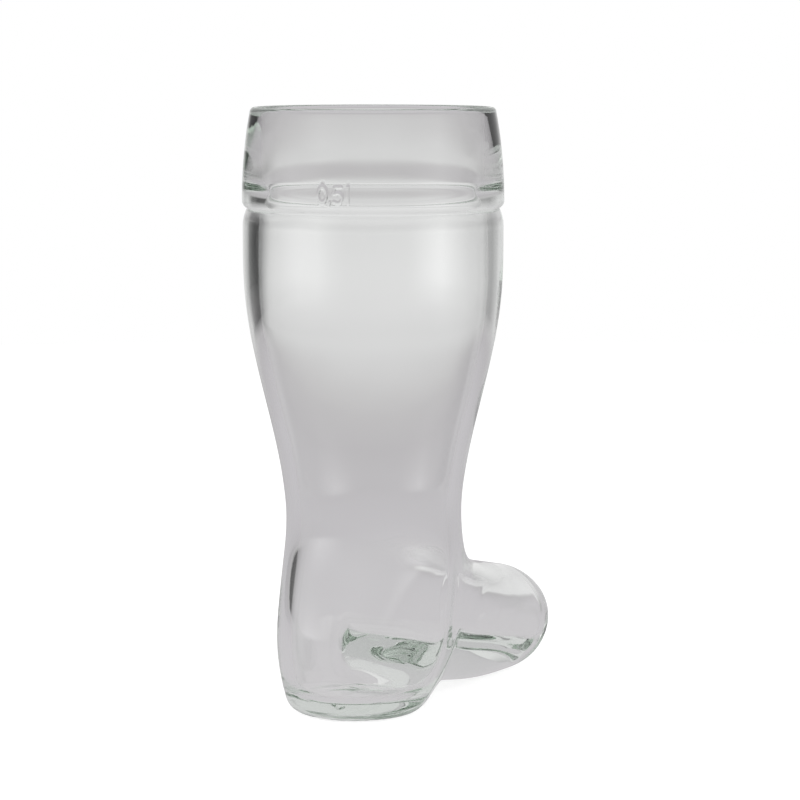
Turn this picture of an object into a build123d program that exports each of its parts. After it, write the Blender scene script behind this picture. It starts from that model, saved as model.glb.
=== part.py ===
from build123d import *
import math
import os

# All sizes in millimetres. While it is drawn, the leg axis is x = y = 0, the toe points along +X
# and the table is z = 0.

# Cuff and groove, from the lip down
boot_height = 195.0
lip_rise = 1.7
band_height = 28.1
groove_rise = 2.5
cuff_radius = 42.2
cuff_taper = 2.6
groove_depth = 1.6
lip_wall = 3.0
cuff_wall = 6.2

# Rounded ridge around the bore at the groove
ridge_rise = 2.7
ridge_depth = 1.0
ridge_reach = 7.0

# Shaft, from the groove down
shoulder_drop = 5.9
upright_drop = 11.8
collar_drop = 44.0
calf_inset = 0.2
collar_wall = 5.1
leg_wall = 4.2

# Ankle and heel, from the table up
ankle_height = 57.0
ankle_seam_rise = 18.5
heel_shift_height = 60.3
heel_shift_end = 23.0
heel_height = 25.0
ankle_radius = 28.0
heel_narrowing = 2.6
heel_draw_in = 4.2
heel_setback = 10.55
heel_floor = 5.0
punt_radius = 11.0
punt_depth = 0.8

# Toe, along X from the leg axis
toe_reach = 90.1
nose_length = 14.7
nose_top = 36.0
nose_half_width = 18.4
ball_setback = 19.5
toe_spring = 8.8
sole_pad_depth = 0.4
instep_rise = 10.2
instep_flare = 4.8
instep_sweep = 3.5
instep_sweep_length = 29.4
instep_squareness = 0.8
arch_x = 19.6
arch_rise = 5.8
toe_seam_gap = 5.3

# Floor of the toe and the step up to it from the heel
ball_floor = 9.0
arch_floor_rise = 5.5
riser_length = 11.0

# How wide the leg and the toe flow into each other, and the line in front of the instep around
# which the sections of the foot turn
throat_flow = 26.0
fan_gap = 17.0

# How far the heel's form runs on below the table before it is cut level, and its round end
heel_run_on = 1.0
heel_end_flow = 9.0

# Places that follow from the sizes above
lip_edge_height = boot_height - lip_rise
cuff_edge_height = lip_edge_height - band_height
groove_height = cuff_edge_height - groove_rise
ridge_height = groove_height + ridge_rise
shoulder_height = groove_height - shoulder_drop
calf_height = shoulder_height - upright_drop
collar_end_height = groove_height - collar_drop
ankle_seam_height = ankle_height + ankle_seam_rise
lip_radius = cuff_radius - cuff_taper
groove_radius = cuff_radius - groove_depth
calf_radius = cuff_radius - calf_inset
heel_radius = ankle_radius - heel_narrowing
root_x = ankle_radius / 4
root_length = ankle_radius / 2
instep_x = ankle_radius
toe_seam_x = ankle_radius + toe_seam_gap
fan_x = instep_x + fan_gap
ball_x = toe_reach - ball_setback
nose_x = toe_reach - nose_length
instep_top = nose_top + instep_rise
instep_half_width = nose_half_width + instep_flare
instep_sweep_x = instep_x + instep_sweep_length
riser_x = arch_x - riser_length
arch_floor = ball_floor + arch_floor_rise

# Boxes that hang below their point
UNDER = (Align.CENTER, Align.CENTER, Align.MAX)
# Step for measuring slopes
NUDGE = 0.01


def held(value, low, high):
    """A value kept between two others."""
    return min(max(value, low), high)


def ease(share):
    """Half a cosine wave from 0 to 1, level outside that span."""
    return (1 - math.cos(math.pi * held(share, 0.0, 1.0))) / 2


def spread(start, end, count):
    """Evenly spaced values from start to end."""
    return [start + (end - start) * step / (count - 1) for step in range(count)]


def leg_radius(z):
    """Outer radius of calf, ankle and heel at height z."""
    to_ankle = ease((calf_height - z) / (calf_height - ankle_height))
    to_heel = ease((ankle_height - z) / (ankle_height - heel_height))
    radius = calf_radius + (ankle_radius - calf_radius) * to_ankle
    radius += (heel_radius - ankle_radius) * to_heel
    drop = max(heel_height - z, 0.0) / heel_height
    return radius - heel_draw_in * drop ** 2


def leg_middle(z):
    """Where the middle of the leg stands along X at height z: the heel sits behind the leg axis."""
    return -heel_setback * ease((heel_shift_height - z) / (heel_shift_height - heel_shift_end))


def leg_bore(z):
    """Inner radius of cuff, calf and ankle at height z, with the ridge around it at the groove."""
    slope = (leg_radius(z + NUDGE) - leg_radius(z - NUDGE)) / (2 * NUDGE)
    collar = ease((z - collar_end_height) / (shoulder_height - collar_end_height))
    wall = leg_wall + (collar_wall - leg_wall) * collar
    calf = leg_radius(z) - wall * math.hypot(1.0, slope)
    lip_bore = lip_radius - lip_wall
    throat_bore = cuff_radius - cuff_wall
    cuff = lip_bore + (throat_bore - lip_bore) * ease((lip_edge_height - z) / band_height)
    bore = cuff + (calf - cuff) * ease((cuff_edge_height - z) / (cuff_edge_height - shoulder_height))
    return bore - ridge_depth * ease(1 - abs(z - ridge_height) / ridge_reach)


def cuff():
    """Rounded lip, tapering band and the upper flank of the groove, turned around the leg axis."""
    lip_middle = lip_radius - lip_wall / 2
    band = TangentArc((cuff_radius, cuff_edge_height), (lip_radius, lip_edge_height), tangent=(0, 1))
    lip = ThreePointArc(band @ 1, (lip_middle, boot_height), (lip_radius - lip_wall, lip_edge_height))
    bore = Spline([(leg_bore(z), z) for z in spread(lip_edge_height, groove_height, 14)])
    seam = Line(bore @ 1, (groove_radius, groove_height))
    flank = TangentArc(band @ 0, seam @ 1, tangent=(0, -1))
    outline = make_face([band, lip, bore, seam, flank])
    return revolve(Plane.XZ * outline, Axis.Z)


def shaft():
    """Lower flank of the groove, calf and ankle, turned around the leg axis."""
    flank = TangentArc((calf_radius, shoulder_height), (groove_radius, groove_height), tangent=(0, 1))
    upright = Line((calf_radius, calf_height), flank @ 0)
    calf = Spline([(leg_radius(z), z) for z in spread(calf_height, ankle_seam_height, 8)])
    bore_heights = spread(ankle_seam_height, calf_height, 9) + spread(calf_height, groove_height, 9)[1:]
    bore = Spline([(leg_bore(z), z) for z in bore_heights])
    ankle_seam = Line(calf @ 1, bore @ 0)
    cuff_seam = Line(bore @ 1, flank @ 1)
    outline = make_face([upright, flank, cuff_seam, bore, ankle_seam, calf])
    return revolve(Plane.XZ * outline, Axis.Z)


def toe_lines(x):
    """Top, sole and half width of the toe at distance x along the foot."""
    share = (x - instep_x) / (nose_x - instep_x)
    top = instep_top + (nose_top - instep_top) * max(share, 0.0)
    top += instep_sweep * held((instep_sweep_x - x) / instep_sweep_length, 0.0, 1.0) ** 2
    half_width = instep_half_width + (nose_half_width - instep_half_width) * share
    behind_ball = max(ball_x - x, 0.0) / (ball_x - arch_x)
    past_ball = max(x - ball_x, 0.0) / ball_setback
    sole = arch_rise * behind_ball ** 2 + toe_spring * past_ball ** 2 - sole_pad_depth
    return top, sole, half_width


def soft_union(a, b, width):
    """Distance out of two forms in one, flowing into each other where both are within width."""
    share = max(1 - abs(a - b) / width, 0.0)
    return min(a, b) - share ** 3 * width / 6


def leg_field(x, y, z):
    """Distance out of the leg with its round end below the table, below zero inside."""
    side = math.hypot(x - leg_middle(z), y) - leg_radius(z)
    return -soft_union(-side, z + heel_run_on, heel_end_flow)


def toe_field(x, y, z):
    """Distance out of the toe, squarer at the instep and round at the nose, below zero inside."""
    top, sole, half_width = toe_lines(held(x, root_x, toe_reach))
    half_height = (top - sole) / 2
    power = 2 + instep_squareness * ease((nose_x - x) / (nose_x - instep_x))
    shares = (
        (abs(y) / half_width, half_width),
        (abs(z - (top + sole) / 2) / half_height, half_height),
        (max(x - nose_x, 0.0) / nose_length, nose_length),
        (max(root_x - x, 0.0) / root_length, root_length),
    )
    size = sum(share ** power for share, length in shares) ** (1 / power) + NUDGE ** 2
    slope = math.sqrt(sum(((share / size) ** (power - 1) / length) ** 2 for share, length in shares))
    return (size - 1) / (slope + NUDGE ** 2)


def outside(x, y, z):
    """Distance out of leg and toe in one, flowing softly into each other."""
    return soft_union(leg_field(x, y, z), toe_field(x, y, z), throat_flow)


def inside(x, y, z):
    """Distance out of the form that lies an even wall inside the outer one."""
    across = outside(x + NUDGE, y, z) - outside(x - NUDGE, y, z)
    aside = outside(x, y + NUDGE, z) - outside(x, y - NUDGE, z)
    up = outside(x, y, z + NUDGE) - outside(x, y, z - NUDGE)
    steepness = math.sqrt(across ** 2 + aside ** 2 + up ** 2) / (2 * NUDGE)
    return outside(x, y, z) + leg_wall * steepness


def way_out(field, start, way):
    """The point where a ray leaves a form."""
    near = 0.0
    far = boot_height
    while far - near > NUDGE ** 2:
        half = (near + far) / 2
        if field(*(place + step * half for place, step in zip(start, way))) < 0:
            near = half
        else:
            far = half
    return tuple(place + step * near for place, step in zip(start, way))


def ring(field, middle, outward, count=48):
    """Closed curve around a form, in the plane through a middle that holds outward and Y."""
    points = []
    for step in range(count):
        turn = math.tau * (step / count + 0.5)
        way = (outward[0] * math.cos(turn), math.sin(turn), outward[1] * math.cos(turn))
        points.append(way_out(field, middle, way))
    places = [step / count for step in range(count + 1)]
    return Wire([Edge.make_spline(points, periodic=True, parameters=places)])


def foot_form(field, fan_sections=32, toe_sections=12, skin_joints=(4, 13, 23, 31, 38)):
    """Ankle, heel and toe in one skin, its rings level at the ankle and upright in the toe."""
    fan_top, fan_sole, fan_half_width = toe_lines(fan_x)
    toe_drop = ankle_seam_height - (fan_top + fan_sole) / 2
    rings = []
    for step in range(fan_sections + 1):
        share = step / fan_sections
        swing = share * math.pi / 2
        outward = (-math.cos(swing), -math.sin(swing))
        reach = fan_x + (toe_drop - fan_x) * share
        middle = (fan_x + outward[0] * reach, 0.0, ankle_seam_height + outward[1] * reach)
        rings.append(ring(field, middle, outward))
    tip_top, tip_sole, tip_half_width = toe_lines(toe_reach)
    tip = way_out(field, (ball_x, 0.0, (tip_top + tip_sole) / 2), (1.0, 0.0, 0.0))
    for step in range(1, toe_sections):
        x = fan_x + (tip[0] - fan_x) * math.sin(step / toe_sections * math.pi / 2)
        top, sole, half_width = toe_lines(x)
        rings.append(ring(field, (x, 0.0, (top + sole) / 2), (0.0, -1.0)))
    rings.append(Vertex(*tip))
    starts = (0, *skin_joints)
    ends = (*skin_joints, len(rings) - 1)
    lengths = [Solid.make_loft(rings[start : end + 1]) for start, end in zip(starts, ends)]
    lid = lengths[0].faces().filter_by(GeomType.PLANE).sort_by(Axis.Z)[-1]
    sides = [length.faces().filter_by(GeomType.PLANE, reverse=True)[0] for length in lengths]
    return Solid(Shell([lid, *sides]))


def foot_outside():
    """Outer form of ankle, heel and toe on the table, with the shallow hollow under the heel."""
    table = Pos(toe_reach / 2, 0, 0) * Box(4 * toe_reach, 4 * cuff_radius, boot_height, align=UNDER)
    standing = foot_form(outside) - table
    punt_ball = (punt_radius ** 2 + punt_depth ** 2) / (2 * punt_depth)
    punt = Pos(leg_middle(0), 0, punt_depth - punt_ball) * Sphere(punt_ball)
    return standing - punt


def foot_hollow():
    """Hollow of ankle, heel and toe above the heel floor, the step at the arch and the toe floor."""
    back = -2 * toe_reach
    front = 2 * toe_reach
    heel_line = Line((back, heel_floor), (riser_x, heel_floor))
    riser = Spline(heel_line @ 1, (arch_x, arch_floor), tangents=((1, 0), (1, 0)))
    arch_line = Line(riser @ 1, (ball_x, ball_floor))
    ball_line = Line(arch_line @ 1, (front, ball_floor))
    under = Polyline(ball_line @ 1, (front, -boot_height), (back, -boot_height), heel_line @ 0)
    outline = make_face([heel_line, riser, arch_line, ball_line, under])
    return foot_form(inside) - extrude(Plane.XZ * outline, 2 * cuff_radius, both=True)


def foot_pieces():
    """Heel with the ankle above it, and toe, parted by an upright plane across the foot."""
    foot = foot_outside() - foot_hollow()
    seam = Plane(origin=(toe_seam_x, 0, 0), z_dir=(1, 0, 0))
    heel = split(foot, bisect_by=seam, keep=Keep.BOTTOM)
    toe = split(foot, bisect_by=seam, keep=Keep.TOP)
    return heel, toe


def write_parts():
    """Write each piece with the box of the whole boot centred over the origin."""
    heel, toe = foot_pieces()
    to_frame = Pos((cuff_radius - toe_reach) / 2, 0, 0)
    os.makedirs("parts", exist_ok=True)
    for name, piece in (("cuff", cuff()), ("shaft", shaft()), ("heel", heel), ("toe", toe)):
        export_step(to_frame * piece, f"parts/{name}.step")


write_parts()
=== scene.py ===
import math

import bpy
import numpy as np
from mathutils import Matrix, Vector


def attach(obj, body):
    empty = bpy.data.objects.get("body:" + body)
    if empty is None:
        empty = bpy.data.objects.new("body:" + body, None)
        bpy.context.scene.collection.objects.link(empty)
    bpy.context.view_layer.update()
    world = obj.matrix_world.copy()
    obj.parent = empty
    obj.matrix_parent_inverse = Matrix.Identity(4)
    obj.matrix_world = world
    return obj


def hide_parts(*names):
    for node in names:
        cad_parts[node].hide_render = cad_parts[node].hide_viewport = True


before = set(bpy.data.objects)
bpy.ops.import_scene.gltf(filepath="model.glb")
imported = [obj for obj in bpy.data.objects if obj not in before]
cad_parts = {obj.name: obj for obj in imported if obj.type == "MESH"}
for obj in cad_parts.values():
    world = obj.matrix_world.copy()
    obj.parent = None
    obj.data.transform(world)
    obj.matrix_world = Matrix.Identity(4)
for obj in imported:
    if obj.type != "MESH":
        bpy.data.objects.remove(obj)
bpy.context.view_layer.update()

# Sizes in millimetres. The leg axis is x = y = 0 and the table is z = 0 while the glass is drawn.
# The finished mesh goes to metres in the row frame.
MM = 0.001
# Step for measuring slopes, and a length too small to see
NUDGE = 0.01
TINY = 0.0001
boot_height = 195.0
lip_rise = 1.7
band_height = 28.1
groove_rise = 2.5
cuff_radius = 42.2
cuff_taper = 2.6
groove_depth = 1.6
lip_wall = 3.0
cuff_wall = 6.2
shoulder_drop = 5.9
upright_drop = 11.8
collar_drop = 44.0
calf_inset = 0.2
collar_wall = 5.1
collar_blend = 8.0
leg_wall = 4.2
ankle_height = 57.0
heel_shift_height = 60.3
heel_shift_end = 23.0
heel_height = 25.0
ankle_radius = 28.0
heel_narrowing = 2.6
heel_draw_in = 4.2
bend_soften = 8.0
bend_samples = 7
heel_setback = 10.55
heel_edge_round = 4.2
heel_floor = 5.0
floor_round = 6.0
punt_radius = 11.0
punt_depth = 0.8
pad_round = 0.6
toe_reach = 90.1
nose_length = 14.7
nose_top = 36.0
nose_half_width = 18.4
ball_setback = 19.5
toe_spring = 8.8
sole_pad_depth = 0.4
instep_rise = 10.2
instep_flare = 4.8
instep_sweep = 3.5
instep_sweep_length = 29.4
instep_ease = 8.0
root_ease = 9.0
instep_squareness = 0.8
arch_x = 19.6
arch_rise = 5.8
ball_floor = 8.0
arch_floor_rise = 12.0
tip_floor_rise = 6.0
riser_x = 1.0
riser_length = 13.0
throat_flow = 26.0
heel_run_on = 1.0
heel_end_flow = 9.0
ankle_seam_rise = 18.5
fan_gap = 17.0
ridge_rise = 2.7
ridge_depth = 1.0
ridge_reach = 7.0

# Places that follow from the sizes
lip_edge_height = boot_height - lip_rise
cuff_edge_height = lip_edge_height - band_height
groove_height = cuff_edge_height - groove_rise
ridge_height = groove_height + ridge_rise
shoulder_height = groove_height - shoulder_drop
calf_height = shoulder_height - upright_drop
collar_end_height = groove_height - collar_drop
lip_radius = cuff_radius - cuff_taper
groove_radius = cuff_radius - groove_depth
calf_radius = cuff_radius - calf_inset
heel_radius = ankle_radius - heel_narrowing
root_x = ankle_radius / 4
root_length = ankle_radius / 2
instep_x = ankle_radius
ball_x = toe_reach - ball_setback
nose_x = toe_reach - nose_length
instep_top = nose_top + instep_rise
instep_half_width = nose_half_width + instep_flare
riser_end_x = riser_x + riser_length
arch_floor = ball_floor + arch_floor_rise
row_shift = (cuff_radius - toe_reach) / 2

# Line across the foot, in front of the instep, around which the rings turn from level to upright
fan_x = instep_x + fan_gap
fan_height = ankle_height + ankle_seam_rise


def ease(share):
    """Half a cosine wave from 0 to 1, held flat outside that span."""
    held = np.clip(share, 0.0, 1.0)
    return (1 - np.cos(np.pi * held)) / 2


def soft_ramp(value, width):
    """Nothing below zero and the value itself above, eased over width on both sides of zero."""
    near = (np.clip(value, -width, width) + width) ** 2 / (4 * width)
    return near + np.clip(value - width, 0.0, None)


def evened(line, z):
    """A line's value at height z, averaged over a short span so that its bends begin and end softly."""
    steps = np.linspace(-bend_soften, bend_soften, bend_samples)
    return np.mean([line(z + step) for step in steps], axis=0)


def leg_outline(z):
    """Outer radius of calf, ankle and heel at height z, before its bends are evened."""
    to_ankle = ease((calf_height - z) / (calf_height - ankle_height))
    to_heel = ease((ankle_height - z) / (ankle_height - heel_height))
    radius = calf_radius + (ankle_radius - calf_radius) * to_ankle
    radius = radius + (heel_radius - ankle_radius) * to_heel
    drop = np.clip(heel_height - z, 0.0, None) / heel_height
    return radius - heel_draw_in * drop ** 2


def leg_radius(z):
    """Outer radius of calf, ankle and heel at height z."""
    return evened(leg_outline, z)


def leg_bore(z):
    """Inner radius of calf and ankle at height z, with the wall measured square to the surface."""
    slope = (leg_radius(z + NUDGE) - leg_radius(z - NUDGE)) / (2 * NUDGE)
    collar = ease((z - collar_end_height) / (shoulder_height - collar_end_height))
    wall = leg_wall + (collar_wall - leg_wall) * collar
    return leg_radius(z) - wall * np.hypot(1.0, slope)


def leg_shift(z):
    """Where the middle of the leg stands along X at height z, before its bends are evened."""
    return -heel_setback * ease((heel_shift_height - z) / (heel_shift_height - heel_shift_end))


def leg_middle(z):
    """Where the middle of the leg stands along X at height z."""
    return evened(leg_shift, z)


def toe_lines(x):
    """Top, sole and half width of the toe's outside at distance x along the foot."""
    share = (x - instep_x) / (nose_x - instep_x)
    down_instep = soft_ramp(x - instep_x + instep_ease, instep_ease) - instep_ease
    top = instep_top + (nose_top - instep_top) * down_instep / (nose_x - instep_x)
    half_width = instep_half_width + (nose_half_width - instep_half_width) * share
    up_instep = np.clip(1 - down_instep / instep_sweep_length, 0.0, None)
    top = top + instep_sweep * up_instep ** 2
    behind_ball = np.clip(ball_x - x, 0.0, None) / (ball_x - arch_x)
    past_ball = np.clip(x - ball_x, 0.0, None) / ball_setback
    sole = arch_rise * behind_ball ** 2 + toe_spring * past_ball ** 2 - sole_pad_depth
    return top, sole, half_width


def soft_union(a, b, width):
    """Two forms in one, flowing into each other where their distances are within width of each other."""
    share = np.clip(1 - np.abs(a - b) / width, 0, None)
    return np.minimum(a, b) - share ** 3 * width / 6


def round_meet(a, b, radius):
    """What two forms share, with a round of that radius along the edge."""
    corner = np.hypot(np.clip(radius + a, 0, None), np.clip(radius + b, 0, None))
    return np.minimum(-radius, np.maximum(a, b)) + corner


def leg_side(x, y, z):
    """Distance out of the leg's side, below zero inside."""
    return np.hypot(x - leg_middle(z), y) - leg_radius(z)


def toe_field(x, y, z):
    """Distance out of the toe, squarer at the instep and round at the nose, below zero inside."""
    held_x = np.minimum(root_x + soft_ramp(x - root_x, root_ease), toe_reach)
    top, sole, half_width = toe_lines(held_x)
    half_height = (top - sole) / 2
    power = 2 + instep_squareness * ease((nose_x - x) / (nose_x - instep_x))
    shares = (
        (np.abs(y) / half_width, half_width),
        (np.abs(z - (top + sole) / 2) / half_height, half_height),
        (np.clip(x - nose_x, 0, None) / nose_length, nose_length),
        (np.clip(root_x - x, 0, None) / root_length, root_length),
    )
    size = sum(share ** power for share, length in shares) ** (1 / power) + TINY
    slope = np.sqrt(sum(((share / size) ** (power - 1) / length) ** 2 for share, length in shares))
    return (size - 1) / (slope + TINY)


def outside(x, y, z):
    """Distance out of the foot, which stands on a round-edged heel with a punt and on a small pad."""
    leg = round_meet(leg_side(x, y, z), -z, heel_edge_round)
    toe = round_meet(toe_field(x, y, z), -z, pad_round)
    punt_ball = (punt_radius ** 2 + punt_depth ** 2) / (2 * punt_depth)
    from_ball = np.sqrt((x - leg_middle(0)) ** 2 + y ** 2 + (z - punt_depth + punt_ball) ** 2)
    foot = np.maximum(soft_union(leg, toe, throat_flow), -z)
    return np.maximum(foot, punt_ball - from_ball)


def smooth_foot(x, y, z):
    """Distance out of the foot before the table cuts it level."""
    leg = -soft_union(-leg_side(x, y, z), z + heel_run_on, heel_end_flow)
    return soft_union(leg, toe_field(x, y, z), throat_flow)


def even_wall(x, y, z):
    """Distance out of the form that lies an even wall inside the smooth foot."""
    across = smooth_foot(x + NUDGE, y, z) - smooth_foot(x - NUDGE, y, z)
    aside = smooth_foot(x, y + NUDGE, z) - smooth_foot(x, y - NUDGE, z)
    up = smooth_foot(x, y, z + NUDGE) - smooth_foot(x, y, z - NUDGE)
    steepness = np.sqrt(across ** 2 + aside ** 2 + up ** 2) / (2 * NUDGE)
    return smooth_foot(x, y, z) + leg_wall * steepness


def floor_height(x):
    """Height of the hollow's floor: low in the heel, up a step, down to the ball, up at the tip."""
    step_up = heel_floor + (arch_floor - heel_floor) * ease((x - riser_x) / riser_length)
    down = np.clip((x - riser_end_x) / (ball_x - riser_end_x), 0, 1)
    past_ball = np.clip(x - ball_x, 0, None) / ball_setback
    return step_up + (ball_floor - arch_floor) * down + tip_floor_rise * past_ball ** 2


def hollow(x, y, z):
    """Distance out of the hollow in the foot."""
    return round_meet(even_wall(x, y, z), floor_height(x) - z, floor_round)


def side_arc(z, start_radius, start_z, end_radius, end_z):
    """Radius at height z on an arc that leaves upright from its start and runs in to its end."""
    inward = start_radius - end_radius
    bend = (inward ** 2 + (end_z - start_z) ** 2) / (2 * inward)
    return start_radius - bend + np.sqrt(bend ** 2 - (z - start_z) ** 2)


def outer_radius(z):
    """Outer radius of cuff, groove and leg at height z."""
    on_band = np.clip(z, cuff_edge_height, None)
    over_groove = np.clip(z, groove_height, cuff_edge_height)
    under_groove = np.clip(z, shoulder_height, groove_height)
    band = side_arc(on_band, cuff_radius, cuff_edge_height, lip_radius, lip_edge_height)
    over = side_arc(over_groove, cuff_radius, cuff_edge_height, groove_radius, groove_height)
    under = side_arc(under_groove, calf_radius, shoulder_height, groove_radius, groove_height)
    radius = np.where(z > cuff_edge_height, band, over)
    radius = np.where(z > groove_height, radius, under)
    return np.where(z > shoulder_height, radius, leg_radius(z))


def bore_radius(z):
    """Inner radius of cuff and leg at height z."""
    lip_bore = lip_radius - lip_wall
    throat = cuff_radius - cuff_wall
    share = (lip_edge_height - z) / (lip_edge_height - cuff_edge_height)
    cuff = lip_bore + (throat - lip_bore) * ease(share)
    passing = cuff + (leg_bore(z) - cuff) * ease((cuff_edge_height - z) / collar_blend)
    bore = np.where(z > shoulder_height, passing, leg_bore(z))
    return bore - ridge_depth * ease(1 - np.abs(z - ridge_height) / ridge_reach)


# Fill mark, a raised half-litre figure on the cuff: where it stands, its height, stroke and relief
mark_turn = math.radians(-19.5)
mark_base = 166.2
mark_size = 4.9
mark_stroke = 0.55
mark_edge = 0.6 * mark_stroke
mark_relief = 0.3
mark_top = 172.0
# Points around each ring, which lie closer together across the fill mark
ring_count = 216
mark_spread = math.radians(10.5)
mark_margin = 0.3 * mark_spread
mark_density = 7.0
fine_count = 7201
# Rays that find the foot's surface: their length and how often it is halved
ray_length = 1.6 * fan_height
ray_halvings = 44
# Number of rings over the lip and in the toe's outside and hollow
lip_steps = 12
toe_steps = 38
toe_hollow_steps = 34


def ring_angles():
    """Angles around a ring, spaced more closely where the fill mark is."""
    fine = np.linspace(-math.pi, math.pi, fine_count)
    within = mark_spread + mark_margin - np.abs(fine - mark_turn)
    dense = 1 + mark_density * ease(within / mark_margin)
    total = np.concatenate([[0], np.cumsum((dense[1:] + dense[:-1]) / 2)])
    return np.interp(np.arange(ring_count) / ring_count * total[-1], total, fine)


turns = ring_angles()


def turned_ring(radius, z):
    """A level ring around the leg axis."""
    return np.stack([-radius * np.cos(turns), radius * np.sin(turns), np.full_like(turns, z)], axis=-1)


def from_line(u, v, start, end):
    """Distance from a straight stroke."""
    along = np.array(end) - np.array(start)
    share = np.clip(((u - start[0]) * along[0] + (v - start[1]) * along[1]) / (along @ along), 0, 1)
    return np.hypot(u - start[0] - share * along[0], v - start[1] - share * along[1])


def from_oval(u, v, middle, half_width, half_height):
    """Distance from an oval stroke."""
    size = np.hypot((u - middle[0]) / half_width, (v - middle[1]) / half_height)
    return np.abs(size - 1) * half_width


def mark_strokes(u, v):
    """Least distance from the strokes of nought, comma, five and litre sign, in figure heights."""
    bowl = from_oval(u, v, (0.13, 0.32), 0.30, 0.32)
    bowl_start = from_line(u, v, (-0.12, 0.08), (0.13, 0.0))
    bowl = np.where(u > 0.02, bowl, bowl_start)
    strokes = (
        from_oval(u, v, (-0.88, 0.5), 0.28, 0.5),
        from_line(u, v, (-0.36, 0.06), (-0.44, -0.15)),
        from_line(u, v, (0.38, 1.0), (-0.07, 1.0)),
        from_line(u, v, (-0.07, 1.0), (-0.10, 0.56)),
        from_line(u, v, (-0.10, 0.56), (0.13, 0.64)),
        bowl,
        from_line(u, v, (0.82, 0.0), (0.82, 1.05)),
    )
    return np.minimum.reduce(strokes)


def mark_rise(z):
    """How far the fill mark stands out around the ring at height z."""
    u = (mark_turn - turns) * cuff_radius / mark_size
    away = mark_strokes(u, np.full_like(u, (z - mark_base) / mark_size)) * mark_size
    return mark_relief * ease((mark_stroke - away) / mark_edge)


def shot_rings(field, middles, outward):
    """Rings where rays from each middle, in the plane of outward and Y, leave the field's form."""
    way = np.cos(turns)[None, :, None] * outward[:, None, :]
    way = way + np.sin(turns)[None, :, None] * np.array([0.0, 1.0, 0.0])
    near = np.zeros((len(middles), ring_count))
    far = np.full_like(near, ray_length)
    for step in range(ray_halvings):
        half = (near + far) / 2
        point = middles[:, None, :] + way * half[..., None]
        inside = field(point[..., 0], point[..., 1], point[..., 2]) < 0
        near = np.where(inside, half, near)
        far = np.where(inside, far, half)
    return middles[:, None, :] + way * ((near + far) / 2)[..., None]


def fan_rings(field, swings):
    """Rings that turn around the fan line from level, at the ankle, to upright, at the instep."""
    top, sole, half_width = toe_lines(np.float64(fan_x))
    end_reach = fan_height - (top + sole) / 2
    reach = fan_x + (end_reach - fan_x) * swings / swings[-1]
    outward = np.stack([-np.cos(swings), np.zeros_like(swings), -np.sin(swings)], axis=-1)
    pivot = np.array([fan_x, 0.0, fan_height])
    return shot_rings(field, pivot + outward * reach[:, None], outward)


def toe_rings(field, tip, count):
    """Upright rings from the instep to just short of the nose's tip, closer together at the tip."""
    share = np.sin(np.arange(1, count) / count * math.pi / 2)
    x = fan_x + (tip[0] - fan_x) * share
    top, sole, half_width = toe_lines(x)
    middles = np.stack([x, np.zeros_like(x), (top + sole) / 2], axis=-1)
    outward = np.tile(np.array([0.0, 0.0, -1.0]), (len(x), 1))
    return shot_rings(field, middles, outward)


def tip_point(field):
    """The point at the front of the nose."""
    top, sole, half_width = toe_lines(toe_reach)
    height = (top + sole) / 2
    near = ball_x
    far = 2 * toe_reach
    while far - near > TINY:
        half = (near + far) / 2
        near, far = (half, far) if field(half, 0.0, height) < 0 else (near, half)
    return np.array([near, 0.0, height])


def spaced_rows(stops):
    """Values from stop to stop, each with its own count, and the last one."""
    values = [np.linspace(start, end, count, endpoint=False) for start, end, count in stops]
    return np.concatenate(values + [[stops[-1][1]]])


def outer_swings():
    """Angles of the outer rings in the fan."""
    return np.radians(spaced_rows(((0, 90, 84),))[1:])


def inner_swings():
    """Angles of the inner rings in the fan, closest on the step from heel to arch."""
    return np.radians(spaced_rows(((0, 54, 36), (54, 76, 36), (76, 90, 10)))[1:])


def outer_heights():
    """Heights of the outer level rings from the lip down to the ankle, closest at groove and fill mark."""
    stops = (
        (lip_edge_height, mark_top, 14),
        (mark_top, cuff_edge_height, 26),
        (cuff_edge_height, groove_height, 7),
        (groove_height, shoulder_height, 8),
        (shoulder_height, calf_height, 8),
        (calf_height, fan_height, 40),
    )
    return spaced_rows(stops)


def inner_heights():
    """Heights of the inner level rings from the lip down to the ankle, closest at the ridge."""
    stops = (
        (lip_edge_height, ridge_height + ridge_reach, 12),
        (ridge_height + ridge_reach, ridge_height - ridge_reach, 24),
        (ridge_height - ridge_reach, calf_height, 5),
        (calf_height, fan_height, 36),
    )
    return spaced_rows(stops)


def lip_rings(count):
    """Rings over the rounded lip, from its inner to its outer edge, both left out."""
    middle = lip_radius - lip_wall / 2
    for step in range(1, count):
        angle = math.pi * (1 - step / count)
        radius = middle + lip_wall / 2 * math.cos(angle)
        yield turned_ring(radius, lip_edge_height + lip_rise * math.sin(angle))


def glass_rings():
    """All rings of the closed glass surface, from the hollow's tip over the lip to the outer tip."""
    inner_leg = np.stack([turned_ring(bore_radius(z), z) for z in inner_heights()])
    outer_leg = np.stack([turned_ring(outer_radius(z) + mark_rise(z), z) for z in outer_heights()])
    inner_toe = toe_rings(hollow, tip_point(hollow), toe_hollow_steps)
    outer_toe = toe_rings(outside, tip_point(outside), toe_steps)
    inner = [inner_leg, fan_rings(hollow, inner_swings()), inner_toe]
    outer = [outer_leg, fan_rings(outside, outer_swings()), outer_toe]
    lip = np.stack(list(lip_rings(lip_steps)))
    return np.concatenate([np.concatenate(inner)[::-1], lip, np.concatenate(outer)])


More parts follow.
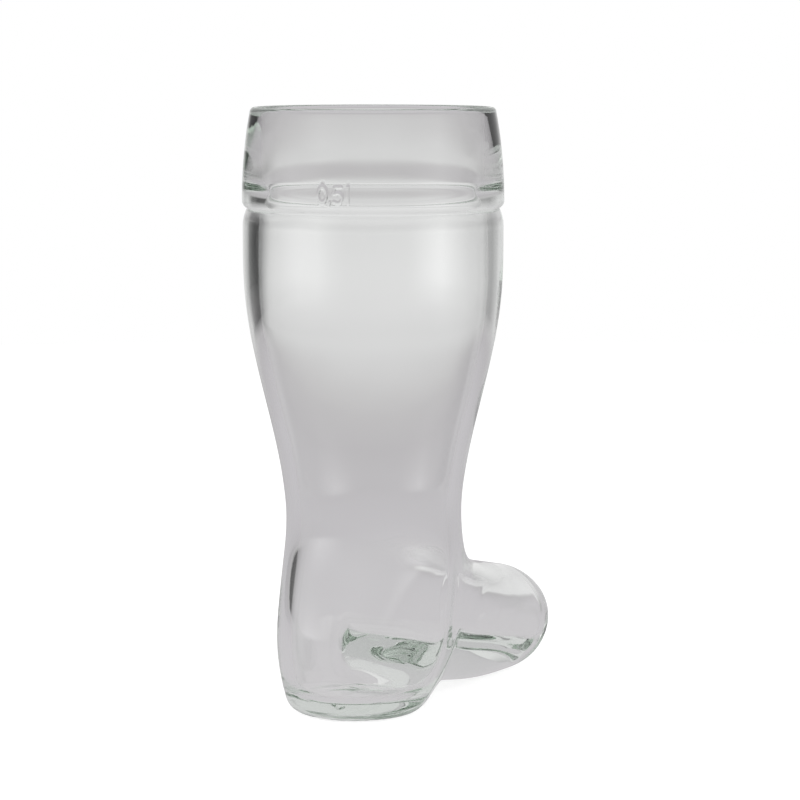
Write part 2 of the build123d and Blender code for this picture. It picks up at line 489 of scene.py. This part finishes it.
def glass_mesh():
    """The closed glass surface as a mesh in metres in the row frame."""
    rings = glass_rings()
    ends = [tip_point(hollow), tip_point(outside)]
    points = np.concatenate([rings.reshape(-1, 3), np.array(ends)])
    points = (points + np.array([row_shift, 0.0, 0.0])) * MM
    ring_total = len(rings)
    start = len(points) - 2
    faces = []
    for ring in range(ring_total - 1):
        for step in range(ring_count):
            after = (step + 1) % ring_count
            low = ring * ring_count
            high = low + ring_count
            faces.append((low + step, low + after, high + after, high + step))
    last = (ring_total - 1) * ring_count
    for step in range(ring_count):
        after = (step + 1) % ring_count
        faces.append((after, step, start))
        faces.append((last + step, last + after, start + 1))
    mesh = bpy.data.meshes.new("boot_glass")
    mesh.from_pydata(points.tolist(), [], faces)
    mesh.polygons.foreach_set("use_smooth", [True] * len(mesh.polygons))
    mesh.update()
    return mesh


# Clear glass: its refraction and the tint that shows where it is thick
glass_index = 1.52
glass_tint = (0.71, 0.78, 0.72, 1.0)
glass_tint_density = 9.0
# Faint unevenness of moulded glass: ripples of the surface and a slightly uneven polish, both from noise
ripple_scale = 30.0
ripple_strength = 0.35
ripple_depth = 0.001
haze_scale = 9.0
haze_start = 0.45
haze_full = 0.75
haze_most = 0.03


def share_between(nodes, links, value, start, end, low=0.0, high=1.0):
    """How far a value is on its way from start to end, as a number from low to high."""
    share = nodes.new("ShaderNodeMapRange")
    share.inputs["From Min"].default_value = start
    share.inputs["From Max"].default_value = end
    share.inputs["To Min"].default_value = low
    share.inputs["To Max"].default_value = high
    links.new(value, share.inputs["Value"])
    return share.outputs["Result"]


def uneven_surface(nodes, links, shader):
    """Slow ripples on the surface and a slightly uneven polish."""
    place = nodes.new("ShaderNodeTexCoord")
    ripples = nodes.new("ShaderNodeTexNoise")
    ripples.inputs["Scale"].default_value = ripple_scale
    ripples.inputs["Detail"].default_value = 1.0
    links.new(place.outputs["Object"], ripples.inputs["Vector"])
    relief = nodes.new("ShaderNodeBump")
    relief.inputs["Strength"].default_value = ripple_strength
    relief.inputs["Distance"].default_value = ripple_depth
    links.new(ripples.outputs["Fac"], relief.inputs["Height"])
    links.new(relief.outputs["Normal"], shader.inputs["Normal"])
    haze = nodes.new("ShaderNodeTexNoise")
    haze.inputs["Scale"].default_value = haze_scale
    links.new(place.outputs["Object"], haze.inputs["Vector"])
    dullness = share_between(nodes, links, haze.outputs["Fac"], haze_start, haze_full, 0.0, haze_most)
    links.new(dullness, shader.inputs["Roughness"])


def glass_material():
    """Clear soda-lime glass with a faint green-grey body."""
    material = bpy.data.materials.new("clear_glass")
    material.use_nodes = True
    nodes = material.node_tree.nodes
    links = material.node_tree.links
    shader = nodes["Principled BSDF"]
    shader.inputs["Base Color"].default_value = (1.0, 1.0, 1.0, 1.0)
    shader.inputs["Transmission Weight"].default_value = 1.0
    shader.inputs["IOR"].default_value = glass_index
    uneven_surface(nodes, links, shader)
    body = nodes.new("ShaderNodeVolumeAbsorption")
    body.inputs["Color"].default_value = glass_tint
    body.inputs["Density"].default_value = glass_tint_density
    links.new(body.outputs["Volume"], nodes["Material Output"].inputs["Volume"])
    return material


def add_glass():
    """The whole glass in one clear piece, in place of the four zones of the solid model."""
    boot = bpy.data.objects.new("boot_glass", glass_mesh())
    boot.data.materials.append(glass_material())
    bpy.context.scene.collection.objects.link(boot)
    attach(boot, "root")
    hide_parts("cuff", "shaft", "heel", "toe")


def view_kinds(nodes, links):
    """Light path values: 1 for rays straight from the camera, and 1 for rays by way of glass or gloss."""
    path = nodes.new("ShaderNodeLightPath")
    by_glass = nodes.new("ShaderNodeMath")
    by_glass.operation = "MAXIMUM"
    links.new(path.outputs["Is Glossy Ray"], by_glass.inputs[0])
    links.new(path.outputs["Is Transmission Ray"], by_glass.inputs[1])
    return path.outputs["Is Camera Ray"], by_glass.outputs["Value"]


def add_ramp(nodes, stops):
    """A colour ramp through (place, colour) stops."""
    ramp = nodes.new("ShaderNodeValToRGB")
    elements = ramp.color_ramp.elements
    while len(elements) < len(stops):
        elements.new(0.5)
    for element, (place, colour) in zip(elements, stops):
        element.position = place
        element.color = (*colour, 1.0)
    return ramp


def pick(nodes, links, choice, without, within):
    """One colour where choice is 0 and another where it is 1."""
    mix = nodes.new("ShaderNodeMix")
    mix.data_type = "RGBA"
    links.new(choice, mix.inputs["Factor"])
    for value, name in ((without, "A_Color"), (within, "B_Color")):
        socket = [one for one in mix.inputs if one.identifier == name][0]
        if isinstance(value, tuple):
            socket.default_value = (*value, 1.0)
        else:
            links.new(value, socket)
    return [one for one in mix.outputs if one.identifier == "Result_Color"][0]


# Camera: level turn from +X of the way it looks, distance from the leg axis, height, tilt and lens
view_turn = math.radians(35.0)
view_distance = 0.980
view_height = 0.2156
view_tilt = math.radians(6.71)
view_side_step = 0.00865
focal_pixels = 3042.0
image_pixels = 800.0
sensor_width = 36.0
# Grey of the studio walls by the level turn, in degrees, to the left of the photograph's direction
wall_greys = (
    (-180, 0.45),
    (-150, 0.55),
    (-117, 1.60),
    (-85, 0.60),
    (-50, 0.45),
    (-38, 0.38),
    (-27, 0.54),
    (-18, 0.80),
    (0, 0.84),
    (17, 0.79),
    (22, 0.50),
    (28, 0.15),
    (42, 0.07),
    (58, 0.10),
    (68, 0.45),
    (80, 0.60),
    (104, 1.60),
    (140, 0.55),
    (180, 0.45),
)
wall_strength = 2.0
# Rise is the upward part of a direction. The walls grow brighter from the rise of their foot to their
# full rise, and turn to one grey between their end and the overhead rise.
wall_foot_share = 0.84
wall_foot_rise = -0.085
wall_full_rise = -0.005
wall_end_rise = 0.0
overhead_rise = 0.25
overhead_grey = 0.72
# Floor: its size in metres, its drop below the glass, its own grey and its glow to the camera
floor_reach = 1.2
floor_sides = 96
floor_drop = 0.0001
floor_grey = 0.5
floor_roughness = 0.9
floor_glow = 0.75
# Painted light: the floor glows to rays through glass in these greys, by distance in metres. Far out it
# takes the walls' grey.
floor_blend_start = 0.76
floor_glow_greys = (
    (0.0, (0.60, 0.585, 0.60)),
    (0.3, (0.56, 0.545, 0.565)),
    (0.6, (0.485, 0.47, 0.485)),
    (0.85, (0.535, 0.525, 0.53)),
    (1.2, (0.64, 0.64, 0.64)),
)
# Grey of the surroundings as a plain light on everything else
ambient_grey = 0.5
# Light runs to and fro many times inside the thick sole before it comes out
glass_bounces = 48
# Soft lamps: turn from the photograph's direction in degrees, power, and their common place and size
softboxes = (("softbox_left", 105, 12.0), ("softbox_right", -115, 10.0))
softbox_distance = 1.1
softbox_height = 0.35
softbox_width = 0.3
softbox_length = 0.9
aim_height = 0.1


def wall_colour(nodes, links, way, strength=None):
    """Colour of the walls in the level direction of a vector, as at their foot or of a given strength."""
    turn = nodes.new("ShaderNodeVectorRotate")
    turn.rotation_type = "Z_AXIS"
    turn.inputs["Angle"].default_value = -view_turn
    links.new(way, turn.inputs["Vector"])
    parts = nodes.new("ShaderNodeSeparateXYZ")
    links.new(turn.outputs["Vector"], parts.inputs["Vector"])
    level_turn = nodes.new("ShaderNodeMath")
    level_turn.operation = "ARCTAN2"
    links.new(parts.outputs["Y"], level_turn.inputs[0])
    links.new(parts.outputs["X"], level_turn.inputs[1])
    around = share_between(nodes, links, level_turn.outputs["Value"], -math.pi, math.pi)
    stops = [(degrees / 360 + 0.5, (grey / wall_strength,) * 3) for degrees, grey in wall_greys]
    wall = add_ramp(nodes, stops)
    links.new(around, wall.inputs["Fac"])
    bright = nodes.new("ShaderNodeVectorMath")
    bright.operation = "SCALE"
    bright.inputs["Scale"].default_value = wall_strength * wall_foot_share
    if strength is not None:
        links.new(strength, bright.inputs["Scale"])
    links.new(wall.outputs["Color"], bright.inputs[0])
    return bright.outputs["Vector"]


def add_world():
    """Surroundings: white to the camera, grey studio walls to the glass."""
    world = bpy.data.worlds.new("studio")
    bpy.context.scene.world = world
    world.use_nodes = True
    nodes = world.node_tree.nodes
    links = world.node_tree.links
    place = nodes.new("ShaderNodeTexCoord")
    parts = nodes.new("ShaderNodeSeparateXYZ")
    links.new(place.outputs["Generated"], parts.inputs["Vector"])
    low = wall_strength * wall_foot_share
    height = parts.outputs["Z"]
    strength = share_between(nodes, links, height, wall_foot_rise, wall_full_rise, low, wall_strength)
    wall = wall_colour(nodes, links, place.outputs["Generated"], strength)
    overhead = share_between(nodes, links, height, wall_end_rise, overhead_rise)
    shown = pick(nodes, links, overhead, wall, (overhead_grey,) * 3)
    from_camera, by_glass = view_kinds(nodes, links)
    colour = pick(nodes, links, by_glass, (ambient_grey,) * 3, shown)
    colour = pick(nodes, links, from_camera, colour, (1.0, 1.0, 1.0))
    links.new(colour, nodes["Background"].inputs["Color"])


def floor_glow_to_glass(nodes, links):
    """Painted light: the floor's glow to rays through glass, greys by distance that run out into the
    walls' grey.
    """
    spot = nodes.new("ShaderNodeNewGeometry")
    reach = nodes.new("ShaderNodeVectorMath")
    reach.operation = "LENGTH"
    links.new(spot.outputs["Position"], reach.inputs[0])
    distance = reach.outputs["Value"]
    greys = add_ramp(nodes, [(place / floor_reach, colour) for place, colour in floor_glow_greys])
    links.new(share_between(nodes, links, distance, 0.0, floor_reach), greys.inputs["Fac"])
    wall = wall_colour(nodes, links, spot.outputs["Position"])
    far_out = share_between(nodes, links, distance, floor_blend_start, floor_reach)
    return pick(nodes, links, far_out, greys.outputs["Color"], wall)


def add_floor():
    """A round pale floor that keeps a soft shadow and glows in painted greys to rays through glass."""
    mesh = bpy.data.meshes.new("floor")
    turns_round = [math.tau * step / floor_sides for step in range(floor_sides)]
    rim = [(floor_reach * math.cos(turn), floor_reach * math.sin(turn), 0.0) for turn in turns_round]
    mesh.from_pydata(rim, [], [range(floor_sides)])
    floor = bpy.data.objects.new("floor", mesh)
    floor.location.z = -floor_drop
    bpy.context.scene.collection.objects.link(floor)
    material = bpy.data.materials.new("floor_white")
    material.use_nodes = True
    nodes = material.node_tree.nodes
    links = material.node_tree.links
    shader = nodes["Principled BSDF"]
    shader.inputs["Base Color"].default_value = (floor_grey, floor_grey, floor_grey, 1.0)
    shader.inputs["Roughness"].default_value = floor_roughness
    shader.inputs["Specular IOR Level"].default_value = 0.0
    from_camera, by_glass = view_kinds(nodes, links)
    # Painted light: rays through glass see the floor's glow, not the lit floor
    glow = nodes.new("ShaderNodeEmission")
    links.new(floor_glow_to_glass(nodes, links), glow.inputs["Color"])
    lit = nodes.new("ShaderNodeMixShader")
    links.new(by_glass, lit.inputs["Fac"])
    links.new(shader.outputs["BSDF"], lit.inputs[1])
    links.new(glow.outputs["Emission"], lit.inputs[2])
    shader.inputs["Emission Color"].default_value = (1.0, 1.0, 1.0, 1.0)
    white = share_between(nodes, links, from_camera, 0.0, 1.0, 0.0, floor_glow)
    links.new(white, shader.inputs["Emission Strength"])
    links.new(lit.outputs["Shader"], nodes["Material Output"].inputs["Surface"])
    floor.data.materials.append(material)


def add_softbox(name, turn, power):
    """A tall soft lamp that faces the leg."""
    lamp = bpy.data.lights.new(name, "AREA")
    lamp.shape = "RECTANGLE"
    lamp.size = softbox_width
    lamp.size_y = softbox_length
    lamp.energy = power
    softbox = bpy.data.objects.new(name, lamp)
    angle = view_turn + math.radians(turn)
    way = Vector((math.cos(angle), math.sin(angle), 0.0))
    softbox.location = way * softbox_distance + Vector((0.0, 0.0, softbox_height))
    aim = Vector((row_shift * MM, 0.0, aim_height)) - softbox.location
    softbox.rotation_euler = aim.to_track_quat("-Z", "Y").to_euler()
    softbox.visible_glossy = False
    softbox.visible_transmission = False
    bpy.context.scene.collection.objects.link(softbox)


def add_camera():
    """The camera at the photograph's place."""
    camera = bpy.data.cameras.new("camera")
    camera.sensor_width = sensor_width
    camera.sensor_fit = "HORIZONTAL"
    camera.lens = focal_pixels / image_pixels * sensor_width
    eye = bpy.data.objects.new("camera", camera)
    ahead = Vector((math.cos(view_turn), math.sin(view_turn), 0.0))
    right = Vector((math.sin(view_turn), -math.cos(view_turn), 0.0))
    leg = Vector((row_shift * MM, 0.0, 0.0))
    eye.location = leg + right * view_side_step - ahead * view_distance + Vector((0.0, 0.0, view_height))
    look = ahead * math.cos(view_tilt) - Vector((0.0, 0.0, math.sin(view_tilt)))
    eye.rotation_euler = look.to_track_quat("-Z", "Y").to_euler()
    bpy.context.scene.collection.objects.link(eye)
    bpy.context.scene.camera = eye


bpy.context.scene.view_settings.view_transform = "Standard"
bpy.context.scene.cycles.max_bounces = glass_bounces
bpy.context.scene.cycles.glossy_bounces = glass_bounces
bpy.context.scene.cycles.transmission_bounces = glass_bounces
add_glass()
add_world()
add_floor()
for name, turn, power in softboxes:
    add_softbox(name, turn, power)
add_camera()
